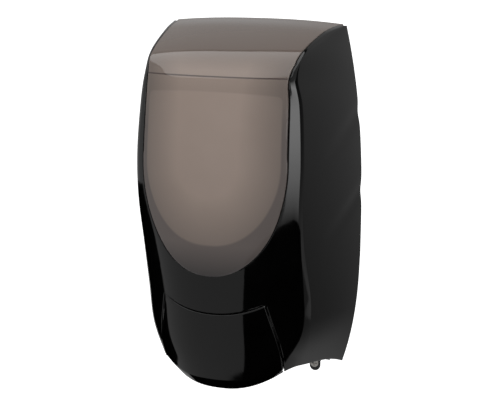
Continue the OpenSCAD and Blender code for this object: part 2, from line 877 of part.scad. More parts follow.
module pump_nozzle() {
    color(shade_milk) translate([0, pump_y, 0]) difference() {
        union() {
            translate([0, 0, -98]) cylinder(h = 20 - 0.05, d = 15);
            translate([0, 0, -113]) cylinder(h = 15, d1 = 8.6, d2 = 12.6);
        }
        translate([0, 0, -90]) cylinder(h = 13, d = stem_d);
        translate([0, 0, -99]) cylinder(h = 10, d = 9.4);
        translate([0, 0, -114]) cylinder(h = 20, d = 5);
    }
}

module outlet_valve() {
    color(shade_rubber) translate([0, pump_y, -98.95]) difference() {
        cylinder(h = 5, d = 9.3);
        translate([0, 0, -1]) cylinder(h = 7, d = 3);
    }
}

back_plate();
refill_shelf();
shelf_screws();
hinge_brackets();
hinge_clips();
hinge_screws();
hinge_pins();
latch_guides();
latch_spring();
refill_bottle();
refill_cap();
pump_barrel();
inlet_valve();
pump_spring();
cover_shell();
cover_window();
window_frame();
window_screws();
latch_pegs();
lever_rod();
lever_spring();
lever_stops();
push_lever();
lever_yoke();
yoke_screws();
latch_bar();
latch_button();
pump_wings();
pump_stem();
piston_seal();
pump_nozzle();
outlet_valve();
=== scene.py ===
"""Looks of the wall mounted push soap dispenser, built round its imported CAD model.

The cover, its window and the push lever are made here as fine meshes on the same surface that the
CAD uses. The bottle and the springs are made here too. The other CAD nodes stay and get a finish of
their own. Lengths are in millimetres up to the moment a mesh is made, and in metres after that.
"""

import json
import math

import bmesh
import bpy
import numpy as np
from mathutils import Matrix, Vector


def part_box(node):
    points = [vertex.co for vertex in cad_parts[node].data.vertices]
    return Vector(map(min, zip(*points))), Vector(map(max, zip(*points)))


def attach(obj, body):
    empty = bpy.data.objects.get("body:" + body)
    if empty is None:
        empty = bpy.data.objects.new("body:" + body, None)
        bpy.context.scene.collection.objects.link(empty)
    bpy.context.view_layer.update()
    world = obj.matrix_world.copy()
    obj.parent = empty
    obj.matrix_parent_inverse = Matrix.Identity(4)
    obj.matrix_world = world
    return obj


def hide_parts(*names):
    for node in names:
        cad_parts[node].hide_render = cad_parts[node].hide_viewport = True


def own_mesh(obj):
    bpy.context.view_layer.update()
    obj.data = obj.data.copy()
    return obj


MM = 0.001

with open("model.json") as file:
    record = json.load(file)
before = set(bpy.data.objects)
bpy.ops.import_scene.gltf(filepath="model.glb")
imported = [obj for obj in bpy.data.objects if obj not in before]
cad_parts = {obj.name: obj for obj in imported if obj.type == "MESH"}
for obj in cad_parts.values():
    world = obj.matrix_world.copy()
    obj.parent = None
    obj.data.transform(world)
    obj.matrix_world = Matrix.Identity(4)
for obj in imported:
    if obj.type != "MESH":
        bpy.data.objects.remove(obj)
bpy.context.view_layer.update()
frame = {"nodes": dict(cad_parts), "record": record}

# ---- Camera ----

AZIMUTH = math.radians(20)
PITCH = math.radians(13.52)
TARGET = Vector((0, -0.05, 0))
DISTANCE = 0.8367
LENS = 82.8
SENSOR_WIDTH = 36
SHIFT_X = 0.0253


def aim(thing, azimuth, pitch, distance):
    """Puts a camera or a light that far from the target and turns it to face the target."""
    towards = Vector((
        math.sin(azimuth) * math.cos(pitch),
        -math.cos(azimuth) * math.cos(pitch),
        math.sin(pitch),
    ))
    thing.location = TARGET + distance * towards
    thing.rotation_euler = towards.to_track_quat("Z", "Y").to_euler()
    bpy.context.scene.collection.objects.link(thing)


def place_camera():
    data = bpy.data.cameras.new("camera")
    data.lens = LENS
    data.sensor_width = SENSOR_WIDTH
    data.shift_x = SHIFT_X
    camera = bpy.data.objects.new("camera", data)
    aim(camera, AZIMUTH, PITCH, DISTANCE)
    bpy.context.scene.camera = camera


place_camera()

# ---- Cover surface: the same curves as the CAD, worked out for many points at once ----

CREASE = np.array([
    [66.7, -3.8, 125], [60.6, -37, 121], [55.6, -75, 109.5], [54.7, -88, 96],
    [58.4, -88, 76], [60.6, -91, 40], [60.1, -91.6, 8], [59.4, -85, -28],
    [60, -76.5, -62], [57.8, -74.5, -92], [49.6, -72.5, -117.5],
])
MIDDLE = np.array([
    [0, -3.8, 128], [0, -42, 124.5], [0, -86, 111.5], [0, -101, 97],
    [0, -107, 76], [0, -111.5, 40], [0, -112, 8], [0, -110.5, -28],
    [0, -107, -67.5], [0, -102, -101], [0, -95, -130],
])
BACK_HEIGHTS = np.array([125, 119, 106, 90, 70, 38, 6, -29, -65, -101, -137], float)
BACK_Y = -3.8
FIRST_STATION = 0.12
LAST_STATION = 9.87

# Half the width at the wall, and by how much it narrows over how much height.
HALF_WIDTH = 81.5
WIDEST_Z = -30
TOP_TAPER = 14.8
TOP_TAPER_HEIGHT = 156
FOOT_TAPER = 13
FOOT_TAPER_HEIGHT = 105

FULLNESS = 2.4
SWELL = 0.09
FOOT_ARCH = 3
GROOVE_DEPTH = 0.9
# Each side groove: its height at the wall, its fall towards the crease, and its width.
GROOVES = ((62, 34, 6), (4, 38, 7))

SKIN = 2.6
WINDOW_GAP = 0.3
LEVER_GAP = 0.7

# How many millimetres a step of 1 in w, or of one station in u, is taken to be.
SHARE_LENGTH = 60
STATION_LENGTH = 36
UPPER_STATION_LENGTH = 22
ROUNDING_LENGTH = 62
SIGHT_SHARE_LENGTH = 58

WINDOW_TOP_SHARE = 0.972
WINDOW_SIDE_SHARE = 0.872
WINDOW_LEAVES_CREASE = 2.45
WINDOW_STRAIGHT_END = 5
WINDOW_FOOT = 7.32

LEVER_SHARE = 0.635
LEVER_FOOT_SHARE = 0.925
LEVER_CORNER = 7.86
LEVER_BROW = 8.03
LEVER_END = 10.04
LIP_STATION = 9.72
LIP_DEPTH = 3.2

# Stations at which the shell's rows that start at the window's foot, at the lever's brow and at the
# lever's corner reach the crease, and how far round the side they have levelled out.
FOOT_ROW = 7.25
BROW_ROW = 7.45
CORNER_ROW = 7.7
SIDE_START = 1.12

# The fold across the window, and the part of it that shows the refill, which place the window's
# painted shade: the stations of its top and foot, and its margin at the sides.
WINDOW_FOLD = 3.04
SIGHT_TOP = 3.56
SIGHT_FOOT = 6.74
SIGHT_MARGIN = 4

# Places in Y and Z, and in X where each fitting starts.
PIVOT = (-82, -70)
BOSS_X = 40.2
BOSS_LENGTH = 4
HINGE = (-22, -121.5)
KNUCKLE_X = 58.2
KNUCKLE_LENGTH = 6.4
PEG = (-9, 90)
PEG_X = 65
PEG_LENGTH = 6.2
STOP_X = 43
STOP_LENGTH = 17.6
PUMP_Y = -42
LATCH_Y = -6.4


def blend(a, b, t):
    return a * (1 - t) + b * t


def ramp(a, b, x):
    t = np.clip((x - a) / (b - a), 0, 1)
    return t * t * (3 - 2 * t)


def unit(v):
    return v / np.linalg.norm(v, axis=-1, keepdims=True)


def spline(points, u):
    """A smooth curve through the points, at each station in u."""
    padded = np.concatenate([
        [2 * points[0] - points[1]], points, [2 * points[-1] - points[-2]]])
    i = np.clip(np.floor(u).astype(int), 0, len(points) - 2)
    f = (u - i) if points.ndim == 1 else (u - i)[:, None]
    before, a, b, after = (padded[i + k] for k in range(4))
    da = (b - before) / 2
    db = (after - a) / 2
    return (
        a * (2 * f**3 - 3 * f**2 + 1) + da * (f**3 - 2 * f**2 + f)
        + b * (3 * f**2 - 2 * f**3) + db * (f**3 - f**2)
    )


def half_at_wall(z):
    above = np.maximum(0, z - WIDEST_Z) / TOP_TAPER_HEIGHT
    below = np.maximum(0, WIDEST_Z - z) / FOOT_TAPER_HEIGHT
    return HALF_WIDTH - TOP_TAPER * above**2.6 - FOOT_TAPER * below**2.7


def back_edge(u):
    z = spline(BACK_HEIGHTS, u)
    return np.stack([half_at_wall(z), np.full_like(z, BACK_Y), z], axis=1)


def front_point(s, u):
    """The front, from the middle (s = 0) to the crease (s = 1)."""
    e = spline(CREASE, u)
    m = spline(MIDDLE, u)
    k = 1 - np.maximum(s, 0) ** FULLNESS
    return np.stack([s * e[:, 0], blend(e[:, 1], m[:, 1], k), blend(e[:, 2], m[:, 2], k)], axis=1)


def groove(r, z):
    """Depth of the soft grooves, which fade out towards the front."""
    both = sum(
        np.exp(-(((z - height + fall * (1 - r)) / width) ** 2)) for height, fall, width in GROOVES)
    return GROOVE_DEPTH * ramp(0.25, 0.9, r) * both


def side_point(r, u):
    """The side, from the crease (r = 0) to the back edge (r = 1), arched along its foot."""
    e = spline(CREASE, u)
    b = back_edge(u)
    r = np.clip(r, 0, 1.05)
    p = blend(e, b, r[:, None])
    swell = SWELL * np.linalg.norm(b - e, axis=1) * r * (1 - r)
    arch = FOOT_ARCH * ramp(8, 10, u) * np.sin(np.pi * np.clip(r, 0, 1) ** 1.4)
    return p + np.stack([swell - groove(r, p[:, 2]), 0 * r, arch], axis=1)


def rounding(u):
    """How far the rounding of the crease reaches each way: tight above, soft at the foot."""
    return 3.5 + 5.5 * ramp(6, 9, u)


def skin(w, u):
    """The outer surface: w is 0 in the middle, 1 at the crease, 2 at the back edge."""
    side = np.where(w < 0, -1.0, 1.0)
    w = np.abs(w)
    crease = spline(CREASE, u)
    run = np.linalg.norm(back_edge(u) - crease, axis=1)
    reach = np.minimum(rounding(u), 0.4 * run)
    a = reach / ROUNDING_LENGTH
    b = reach / run
    t = np.clip((w - 1 + a) / (a + b), 0, 1)[:, None]
    corner = (
        (1 - t) ** 2 * front_point(1 - a, u) + 2 * t * (1 - t) * crease
        + t**2 * side_point(b, u)
    )
    p = np.where((w <= 1 - a)[:, None], front_point(np.minimum(w, 1), u), corner)
    p = np.where((w >= 1 + b)[:, None], side_point(w - 1, u), p)
    return p * np.stack([side, np.ones_like(w), np.ones_like(w)], axis=1)


def inward(w, u):
    """Direction into the dispenser, square to the surface."""
    v = np.maximum(u, 0.15)
    across = skin(w + 0.004, v) - skin(w - 0.004, v)
    down = skin(w, v + 0.02) - skin(w, v - 0.02)
    return unit(np.cross(across, down))


def skin_matrix(w, u):
    """A frame on the surface whose Z points into the dispenser, in millimetres."""
    q = np.array([float(w)]), np.array([float(u)])
    n = inward(*q)[0]
    x = unit(np.cross([0, 0, 1], n))
    y = np.cross(n, x)
    m = Matrix([list(x), list(y), list(n)]).transposed().to_4x4()
    m.translation = Vector(skin(*q)[0])
    return m


def window_foot_edge(phi, grow=0.0):
    """Edge of the window at angle phi (degrees) round its foot, grown outwards."""
    c = max(0.0, math.cos(math.radians(phi)))
    s = math.sin(math.radians(phi))
    half = WINDOW_SIDE_SHARE + grow / SHARE_LENGTH
    reach = WINDOW_FOOT - WINDOW_STRAIGHT_END + grow / STATION_LENGTH
    return half * c ** (2 / 2.2), WINDOW_STRAIGHT_END + reach * s ** (2 / 2.5)


def window_share(u):
    """Where the side of the window lies on the front, above its round foot."""
    if u < WINDOW_LEAVES_CREASE:
        return WINDOW_TOP_SHARE
    t = (WINDOW_STRAIGHT_END - u) / (WINDOW_STRAIGHT_END - WINDOW_LEAVES_CREASE)
    return blend(WINDOW_SIDE_SHARE, WINDOW_TOP_SHARE, max(0, t) ** 1.7)


def lever_edge_share(u):
    """Where the side of the lever's opening lies on the front."""
    return blend(LEVER_SHARE, LEVER_FOOT_SHARE, (u - LEVER_CORNER) / (10 - LEVER_CORNER))


def lever_top(s):
    """The station of the top of the lever's opening."""
    return blend(LEVER_BROW, LEVER_CORNER, (s / LEVER_SHARE) ** 2)


def tuck(u):
    """How far the lever's face has turned under, below the lip station."""
    return LIP_DEPTH * (np.maximum(0, u - LIP_STATION) / (10 - LIP_STATION)) ** 1.2


def side_inset(q):
    """How far each point lies inside the window's border at its sides and foot, in mm."""
    w = np.abs(q[:, 0])
    u = q[:, 1]
    margin = SIGHT_MARGIN / SHARE_LENGTH
    share = np.array([window_share(v) for v in u]) - margin
    foot_share = WINDOW_SIDE_SHARE - margin
    beyond = np.maximum(0, u - WINDOW_STRAIGHT_END) / (SIGHT_FOOT - WINDOW_STRAIGHT_END)
    round_foot = ((w / foot_share) ** 2.3 + beyond**2.3) ** (1 / 2.3)
    inside = np.where(u < WINDOW_STRAIGHT_END, share - w, (1 - round_foot) * foot_share)
    return inside * SIGHT_SHARE_LENGTH


def sight_inset(q):
    """How far each point lies inside the part of the window that shows the refill, in mm."""
    side = side_inset(q)
    top_edge = SIGHT_TOP + 0.2 * np.abs(q[:, 0]) ** FULLNESS
    top = (q[:, 1] - top_edge) * UPPER_STATION_LENGTH
    corner = 3.0
    rounded = corner - np.hypot(corner - side, corner - top)
    in_corner = (side < corner) & (top < corner)
    return np.where(in_corner, rounded, np.minimum(side, top))


def relieved(q):
    """The sides of the lever opening are cut straight back, so that the lever can swing in."""
    w = np.abs(q[:, 0])
    edge = lever_edge_share(q[:, 1])
    most = 0.028 + 0.005 * np.maximum(0, q[:, 1] - LEVER_CORNER) ** 2
    outside = np.maximum(0, (SIDE_START - w) / (SIDE_START - edge))
    share = np.minimum(ramp(edge - 0.12, edge, w), outside)
    moved = np.sign(q[:, 0]) * (w + most * share * ramp(7.6, LEVER_CORNER, q[:, 1]))
    return np.stack([moved, q[:, 1]], axis=1)


# ---- Meshes ----


def new_object(name, vertices, faces):
    """A smooth shaded object from vertices in millimetres."""
    mesh = bpy.data.meshes.new(name)
    mesh.from_pydata([tuple(float(c) * MM for c in v) for v in vertices], [], faces)
    bm = bmesh.new()
    bm.from_mesh(mesh)
    bmesh.ops.recalc_face_normals(bm, faces=bm.faces)
    if bm.calc_volume(signed=True) < 0:
        bmesh.ops.reverse_faces(bm, faces=bm.faces)
    bm.to_mesh(mesh)
    bm.free()
    mesh.shade_smooth()
    piece = bpy.data.objects.new(name, mesh)
    bpy.context.scene.collection.objects.link(piece)
    return piece


def weighted_normals(piece):
    modifier = piece.modifiers.new("flat_faces_first", "WEIGHTED_NORMAL")
    modifier.weight = 100
    return piece


def tube_faces(rings, count):
    """Sides and flat ends of a tube whose vertices are rings of count points, one after another."""
    last = (rings - 1) * count
    faces = [tuple(reversed(range(count))), tuple(last + k for k in range(count))]
    for start in range(0, last, count):
        for k in range(count):
            n = (k + 1) % count
            faces.append((start + k, start + n, start + count + n, start + count + k))
    return faces


def rounded_outline(half_x, half_y, radius, centre_y, per_corner):
    """A rectangle with round corners in X and Y, from the corner at +X and +Y."""
    outline = []
    for k, (side_x, side_y) in enumerate(((1, 1), (-1, 1), (-1, -1), (1, -1))):
        for t in np.linspace(0, 1, per_corner):
            a = math.pi / 2 * (k + t)
            x = side_x * (half_x - radius) + radius * math.cos(a)
            y = centre_y + side_y * (half_y - radius) + radius * math.sin(a)
            outline.append((x, y))
    return outline


def grid_faces(rows, cols, start=0):
    return [
        (start + i * cols + j, start + i * cols + j + 1,
         start + (i + 1) * cols + j + 1, start + (i + 1) * cols + j)
        for i in range(rows - 1) for j in range(cols - 1)
    ]


def weld(q, faces):
    """Joins points at the same place, and drops faces that close up."""
    _, first, index = np.unique(np.round(q, 6), axis=0, return_index=True, return_inverse=True)
    index = index.reshape(-1)
    kept = []
    for face in faces:
        corners = list(dict.fromkeys(int(index[k]) for k in face))
        if len(corners) > 2:
            kept.append(tuple(corners))
    return q[first], kept


def edge_loops(faces):
    """Next vertex along the open edge, for each vertex that lies on one."""
    edges = set()
    for face in faces:
        for a, b in zip(face, face[1:] + face[:1]):
            edges.add((a, b))
    return {a: b for a, b in edges if (b, a) not in edges}


def off_the_sheet(outer, normal, faces, following, edge):
    """At each vertex of the open edge, the direction that leads off the sheet."""
    previous = {b: a for a, b in following.items()}
    after = [following[v] for v in edge]
    before = [previous[v] for v in edge]
    tangent = unit(unit(outer[after] - outer[edge]) + unit(outer[edge] - outer[before]))
    out = unit(np.cross(tangent, normal[edge]))
    middle = {}
    for face in faces:
        for a, b in zip(face, face[1:] + face[:1]):
            if following.get(a) == b:
                middle[a] = outer[list(face)].mean(axis=0)
    from_middle = (outer[edge] + outer[after]) / 2 - np.array([middle[v] for v in edge])
    return out * np.sign(np.einsum("ij,ij->i", from_middle, out))[:, None]


def solid_sheet(name, q, faces, depth=None, inner_q=None, rim=0.5, steps=4):
    """A sheet on the cover surface, one skin thick, with its edges rounded over.

    q holds [w, u] for each point, depth how far below the surface its outer face lies, and rim
    the radius of the rounded edge, which may change from point to point.
    """
    depth = np.zeros(len(q)) if depth is None else depth
    inner_q = q if inner_q is None else inner_q
    normal = inward(q[:, 0], q[:, 1])
    outer = skin(q[:, 0], q[:, 1]) + depth[:, None] * normal
    inner_normal = inward(inner_q[:, 0], inner_q[:, 1])
    inner = skin(inner_q[:, 0], inner_q[:, 1]) + (depth + SKIN)[:, None] * inner_normal
    following = edge_loops(faces)
    edge = sorted(following)
    rim = np.broadcast_to(rim, len(q))[edge][:, None]
    out = off_the_sheet(outer, normal, faces, following, edge)
    turns = [math.pi / 2 * k / steps for k in range(1, steps + 1)]
    rings = []
    for side, sign, order in ((outer, 1, turns), (inner, -1, reversed(turns))):
        for t in order:
            slide = out * rim * (1 - math.sin(t))
            sink = normal[edge] * rim * (1 - math.cos(t))
            rings.append(side[edge] - slide + sign * sink)
    top = outer.copy()
    top[edge] -= out * rim
    bottom = inner.copy()
    bottom[edge] -= out * rim
    count = len(q)
    surface = list(faces) + [tuple(k + count for k in reversed(face)) for face in faces]
    levels = [edge]
    for k in range(len(rings)):
        start = 2 * count + k * len(edge)
        levels.append(range(start, start + len(edge)))
    levels.append([count + v for v in edge])
    place = {v: k for k, v in enumerate(edge)}
    for upper, lower in zip(levels, levels[1:]):
        for k, v in enumerate(edge):
            n = place[following[v]]
            surface.append((upper[k], lower[k], lower[n], upper[n]))
    vertices = np.concatenate([top, bottom] + rings)
    return weighted_normals(new_object(name, vertices, surface))


def shell_rows():
    """Rows of the right half: where each starts on the front, and its station on the crease."""
    gap = WINDOW_GAP / SHARE_LENGTH
    rows = []
    for u in np.linspace(FIRST_STATION, WINDOW_LEAVES_CREASE, 26):
        rows.append(((window_share(u) + gap, u), u))
    for u in np.linspace(WINDOW_LEAVES_CREASE, WINDOW_STRAIGHT_END, 25)[1:]:
        rows.append(((window_share(u) + gap, u), u))
    for t in np.linspace(0, 1, 43)[1:-1]:
        start = window_foot_edge(90 * t, WINDOW_GAP)
        rows.append((start, blend(WINDOW_STRAIGHT_END, FOOT_ROW, t)))
    for t in np.linspace(0, 1, 9):
        start = (0, blend(WINDOW_FOOT + WINDOW_GAP / STATION_LENGTH, LEVER_BROW, t))
        rows.append((start, blend(FOOT_ROW, BROW_ROW, t)))
    for t in np.linspace(0, 1, 17)[1:]:
        start = (LEVER_SHARE * t, lever_top(LEVER_SHARE * t))
        rows.append((start, blend(BROW_ROW, CORNER_ROW, t)))
    for t in np.linspace(0, 1, 37)[1:]:
        u = blend(LEVER_CORNER, LAST_STATION, t)
        rows.append(((lever_edge_share(u), u), blend(CORNER_ROW, LAST_STATION, t)))
    return rows


def shell_row(start, u):
    """Points of one row, from the opening round the crease to the back edge."""
    near = max(start[0] + 0.01, 1 - float(rounding(u)) / ROUNDING_LENGTH)
    row = [blend(np.array(start), np.array([near, u]), t) for t in np.linspace(0, 1, 13)[:-1]]
    row += [np.array([blend(near, SIDE_START, t), u]) for t in np.linspace(0, 1, 17)[:-1]]
    row += [np.array([w, u]) for w in np.linspace(SIDE_START, 2, 30)]
    return row


def make_cover_shell():
    """The shell with its two openings, and a softer edge round the lever's."""
    right = np.array([shell_row(start, u) for start, u in shell_rows()], float)
    rows, cols = right.shape[:2]
    left = right * [-1, 1]
    q = np.concatenate([right.reshape(-1, 2), left.reshape(-1, 2)])
    faces = grid_faces(rows, cols)
    faces += [tuple(reversed(face)) for face in grid_faces(rows, cols, rows * cols)]
    q, faces = weld(q, faces)
    rim = np.where(q[:, 1] > WINDOW_FOOT + 0.2, 0.85, 0.5)
    return solid_sheet("cover_shell_skin", q, faces, inner_q=relieved(q), rim=rim)


def make_window():
    """The window, with the values at each point that its painted tint and shade are worked out from.
    """
    gap = WINDOW_GAP / SHARE_LENGTH
    stations = np.linspace(0, WINDOW_LEAVES_CREASE, 40).tolist()
    stations += np.linspace(WINDOW_LEAVES_CREASE, WINDOW_STRAIGHT_END, 41)[1:-1].tolist()
    edge = [(window_share(u) - gap, u) for u in stations]
    edge += [window_foot_edge(phi) for phi in np.linspace(0, 90, 70)]
    reach = math.pi / 2 * 0.86
    across = np.sin(np.linspace(-1, 1, 91) * reach) / math.sin(reach)
    q = np.array([[(x * w, u) for x in across] for w, u in edge], float)
    rows, cols = q.shape[:2]
    q, faces = weld(q.reshape(-1, 2), grid_faces(rows, cols))
    window = solid_sheet("cover_window_skin", q, faces, rim=0.5)
    shading = {
        "sight_inset": sight_inset(q),
        "side_inset": side_inset(q),
        "fold_drop": (q[:, 1] - WINDOW_FOLD) * UPPER_STATION_LENGTH,
    }
    for name, on_faces in shading.items():
        values = np.full(len(window.data.vertices), -SIGHT_MARGIN, float)
        values[:2 * len(q)] = np.tile(on_faces, 2)
        window.data.attributes.new(name, "FLOAT", "POINT").data.foreach_set("value", values)
    return window


def make_lever():
    """The lever's face: v runs from 0 at its top to 1 where the lip starts and 2 at its end."""
    gap = LEVER_GAP / SHARE_LENGTH
    grid = []
    for v in [*np.linspace(0, 1, 46), *np.linspace(1, 2, 15)[1:]]:
        row = []
        for x in np.linspace(-1, 1, 71):
            top = lever_top(abs(x) * LEVER_SHARE) + LEVER_GAP / STATION_LENGTH
            u = blend(top, LIP_STATION, v) if v <= 1 else blend(LIP_STATION, LEVER_END, v - 1)
            flare = 0.02 * float(ramp(9.88, 9.95, u))
            row.append((x * (lever_edge_share(u) - gap + flare), u))
        grid.append(row)
    q = np.array(grid, float)
    rows, cols = q.shape[:2]
    q, faces = weld(q.reshape(-1, 2), grid_faces(rows, cols))
    return solid_sheet("push_lever_skin", q, faces, depth=tuck(q[:, 1]), rim=1.0)


cover_shell = make_cover_shell()
cover_window = make_window()
push_lever = make_lever()

# ---- Fittings moulded on the inside of the cover and the lever ----


class Parts:
    """Collects small solids, in millimetres, into one object."""

    def __init__(self):
        self.vertices = []
        self.faces = []

    def add(self, vertices, faces, matrix=None):
        start = len(self.vertices)
        matrix = matrix or Matrix.Identity(4)
        self.vertices += [tuple(matrix @ Vector(v)) for v in vertices]
        self.faces += [tuple(start + k for k in face) for face in faces]

    def turned(self, profile, matrix=None, segments=40):
        """Turns a closed profile of (radius, height) round Z."""
        count = len(profile)
        vertices = [
            (r * math.cos(2 * math.pi * k / segments), r * math.sin(2 * math.pi * k / segments), z)
            for k in range(segments) for r, z in profile
        ]
        faces = [
            (k * count + i, k * count + (i + 1) % count,
             (k + 1) % segments * count + (i + 1) % count, (k + 1) % segments * count + i)
            for k in range(segments) for i in range(count)
        ]
        self.add(vertices, faces, matrix)

    def extruded(self, outline, length, matrix=None, edge=0.4):
        """An outline in X and Y drawn along Z, with its end edges chamfered."""
        points = np.array(outline, float)
        ahead = unit(np.roll(points, -1, axis=0) - points)
        behind = unit(points - np.roll(points, 1, axis=0))
        turn = unit(ahead + behind)
        area = np.sum(points[:, 0] * np.roll(points[:, 1], -1)
                      - np.roll(points[:, 0], -1) * points[:, 1])
        inner = np.stack([-turn[:, 1], turn[:, 0]], axis=1) * np.sign(area)
        lean = np.maximum(0.5, np.einsum("ij,ij->i", turn, ahead))[:, None]
        small = points + inner * edge / lean
        levels = [(small, 0), (points, edge), (points, length - edge), (small, length)]
        vertices = [(x, y, z) for ring, z in levels for x, y in ring]
        self.add(vertices, tube_faces(len(levels), len(points)), matrix)

    def coil(self, radius, wire, height, turns, matrix, around=12, per_turn=36):
        """A round wire wound round Z, with its middle line at the radius."""
        steps = turns * per_turn
        vertices = []
        for i in range(steps + 1):
            a = 2 * math.pi * i / per_turn
            for k in range(around):
                b = 2 * math.pi * k / around
                r = radius + wire / 2 * math.cos(b)
                z = wire / 2 * (1 + math.sin(b)) + (height - wire) * i / steps
                vertices.append((r * math.cos(a), r * math.sin(a), z))
        self.add(vertices, tube_faces(steps + 1, around), matrix)

    def made(self, name):
        return weighted_normals(new_object(name, self.vertices, self.faces))


def collar(outer, bore, low, high, edge=0.35):
    """Profile of a ring with chamfered edges."""
    return [
        (bore, low), (outer - edge, low), (outer, low + edge), (outer, high - edge),
        (outer - edge, high), (bore + edge, high), (bore, high - edge),
    ]


def along_x(x, y, z):
    """A frame at (x, y, z) whose Z runs along +X."""
    return Matrix.Translation((x, y, z)) @ Matrix.Rotation(math.pi / 2, 4, "Y")


def across_x(x):
    """A frame that draws a (y, z) outline along +X from x."""
    m = Matrix(((0, 0, 1), (1, 0, 0), (0, 1, 0))).to_4x4()
    m.translation = Vector((x, 0, 0))
    return m


def start_on(side, near, length):
    """Where a fitting starts in X: on the right at near, on the left as its mirror image."""
    return near if side > 0 else -near - length


def make_cover_fittings():
    """Screw posts for the window, lever bosses, hinge knuckles, latch sockets and stop shelves."""
    parts = Parts()
    for phi in (0, 34, 68):
        w, u = window_foot_edge(phi, 4)
        for side in (-1, 1):
            parts.turned(collar(outer=3, bore=1.25, low=1.4, high=5.2), skin_matrix(side * w, u))
    boss_tie = [(-91, -75), (-84.5, -75), (-85.9, -73), (-86.9, -70), (-85.9, -67), (-84.5, -65),
                (-91, -65)]
    knuckle_web = [(KNUCKLE_X + 3, -124), (64.4, -124), (70, -104), (KNUCKLE_X, -112),
                   (KNUCKLE_X, -117.4)]
    stop_shelf = [(-56, -107), (-53, -107), (-53, -98), (-56, -98)]
    upright = Matrix(((1, 0, 0), (0, 0, -1), (0, 1, 0))).to_4x4()
    upright.translation = Vector((0, HINGE[0] + 3, 0))
    for side in (-1, 1):
        start = start_on(side, BOSS_X, BOSS_LENGTH)
        parts.turned(collar(outer=5, bore=2, low=0, high=BOSS_LENGTH), along_x(start, *PIVOT))
        parts.extruded(boss_tie, BOSS_LENGTH, across_x(start), edge=0.3)
        start = start_on(side, KNUCKLE_X, KNUCKLE_LENGTH)
        knuckle = collar(outer=3.8, bore=1.55, low=0, high=KNUCKLE_LENGTH)
        parts.turned(knuckle, along_x(start, *HINGE))
        parts.extruded([(side * x, z) for x, z in knuckle_web], 6, upright)
        start = start_on(side, PEG_X, PEG_LENGTH)
        parts.turned(collar(outer=4.5, bore=2, low=0, high=PEG_LENGTH), along_x(start, *PEG))
        start = start_on(side, STOP_X, STOP_LENGTH)
        parts.extruded(stop_shelf, STOP_LENGTH, across_x(start), edge=0.3)
    return parts.made("cover_fittings")


def add_lever_return(parts, side):
    """A thin wall straight back from one side of the lever, which closes the joint."""
    stations = np.linspace(8.45, 9.96, 38)
    share = lever_edge_share(stations) - LEVER_GAP / SHARE_LENGTH - 0.003
    depth = tuck(stations) + 0.7
    front = skin(share, stations) + depth[:, None] * inward(share, stations)
    furthest_back = -71
    wall_depth = 7
    thickness = 1.6
    chamfer = 0.3
    vertices = []
    for x, y, z in front:
        back = min(y + wall_depth, furthest_back)
        section = [(x, y), (x, back - chamfer), (x - chamfer, back),
                   (x - thickness + chamfer, back), (x - thickness, back - chamfer),
                   (x - thickness, y)]
        vertices += [(side * px, py, z) for px, py in section]
    parts.add(vertices, tube_faces(len(stations), len(section)))


def make_lever_fittings():
    """Screw posts for the yoke, and the side walls of the lever."""
    parts = Parts()
    post = collar(outer=3.5, bore=1.25, low=1.4, high=7.4)
    for side in (-1, 1):
        for u in (8.55, 9.25):
            parts.turned(post, skin_matrix(side * 0.38, u))
        add_lever_return(parts, side)
    return parts.made("lever_fittings")


cover_fittings = make_cover_fittings()
lever_fittings = make_lever_fittings()

# ---- Refill bottle ----

NECK_RADIUS = 18
NECK_BORE = 15
CORNER_RADIUS = 20
CROWN = 7
SHOULDER_TOP = -20
SHOULDER_FOOT = -37.6
BORE_END = -36


def bottle_ring(half_x, half_y, radius, centre_y, z):
    return [(x, y, z) for x, y in rounded_outline(half_x, half_y, radius, centre_y, 14)]


def make_bottle():
    """A blown bottle: crowned top, soft edges, sloping shoulder and a plain neck."""
    low, high = (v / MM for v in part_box("refill_bottle"))
    half_x = (high.x - low.x) / 2
    half_y = (high.y - low.y) / 2
    centre_y = (high.y + low.y) / 2
    body_top = high.z - 12
    shoulder_radius = NECK_RADIUS + 3
    rings = []
    for t in np.linspace(0, 1, 9):
        a = t * math.pi / 2
        draw = CROWN * (1 - math.sin(a))
        z = high.z - CROWN * (1 - math.cos(a)) - 0.2 * t
        rings.append(bottle_ring(
            half_x - draw, half_y - draw, CORNER_RADIUS - draw * 0.6, centre_y, z))
    for z in np.linspace(body_top, SHOULDER_TOP, 14):
        pinch = 0.5 * math.sin(math.pi * (body_top - z) / (body_top - SHOULDER_TOP))
        rings.append(bottle_ring(half_x - pinch, half_y - pinch, CORNER_RADIUS, centre_y, z))
    for t in np.linspace(0, 1, 10)[1:]:
        ease = blend(t, float(ramp(0, 1, t)), 0.35)
        rings.append(bottle_ring(
            blend(half_x, shoulder_radius, ease), blend(half_y, shoulder_radius, ease),
            blend(CORNER_RADIUS, shoulder_radius - 0.1, ease), blend(centre_y, PUMP_Y, ease),
            blend(SHOULDER_TOP, SHOULDER_FOOT, t**1.15)))
    for radius, z in ((NECK_RADIUS, SHOULDER_FOOT - 0.8), (NECK_RADIUS, low.z),
                      (NECK_BORE, low.z), (NECK_BORE, BORE_END)):
        rings.append(bottle_ring(radius, radius, radius - 0.1, PUMP_Y, z))
    vertices = [v for ring in rings for v in ring]
    faces = tube_faces(len(rings), len(rings[0]))
    return weighted_normals(new_object("refill_bottle_body", vertices, faces))


bottle = make_bottle()

# ---- Springs ----

PUMP_SPRING_FOOT = -47.8
PUMP_SPRING_LENGTH = 22.4
LATCH_SPRING_FOOT = -30
LATCH_SPRING_LENGTH = 16.9


def make_upright_spring(name, radius, wire, y, foot, length, turns):
    parts = Parts()
    parts.coil(radius, wire, length, turns, Matrix.Translation((0, y, foot)))
    return parts.made(name)


